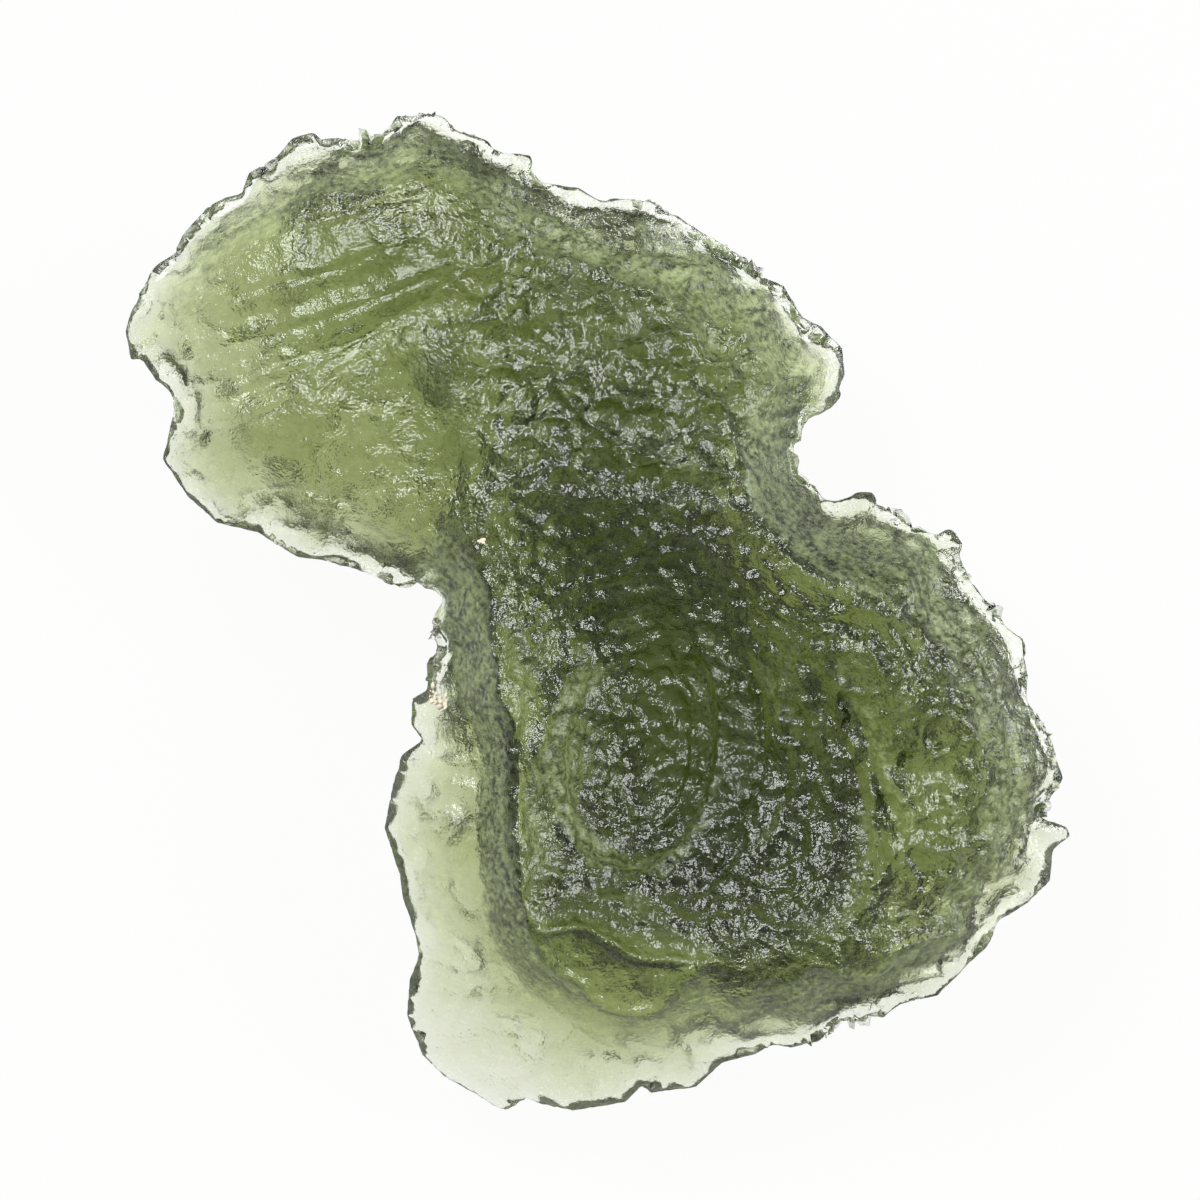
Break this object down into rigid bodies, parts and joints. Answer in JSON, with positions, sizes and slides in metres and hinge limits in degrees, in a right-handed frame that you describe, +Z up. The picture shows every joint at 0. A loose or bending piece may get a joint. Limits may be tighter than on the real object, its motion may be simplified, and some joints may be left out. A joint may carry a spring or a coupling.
{
  "type": "moldavite",
  "caption": "Natural etched green glass stone with a deep hollow, lobed ragged outline and bulging pitted back, lying hollow side up on a small flat.",
  "frame": {"origin": "centre of the stone's bounding box in plan, at the level of the flat that it rests on", "axes": "+Z up, out of the hollow side; +Y towards the top of the picture, where the upper lobe is; +X to the picture's right"},
  "size_m": [0.0304, 0.0322, 0.0107],
  "materials": {
    "etched_green_glass": "natural olive-green glass with a finely etched satin skin, nearly clear at the thin edges and deep bottle green where it is thick"
  },
  "bodies": {
    "root": {"moldavite": "etched_green_glass"}
  },
  "joints": []
}
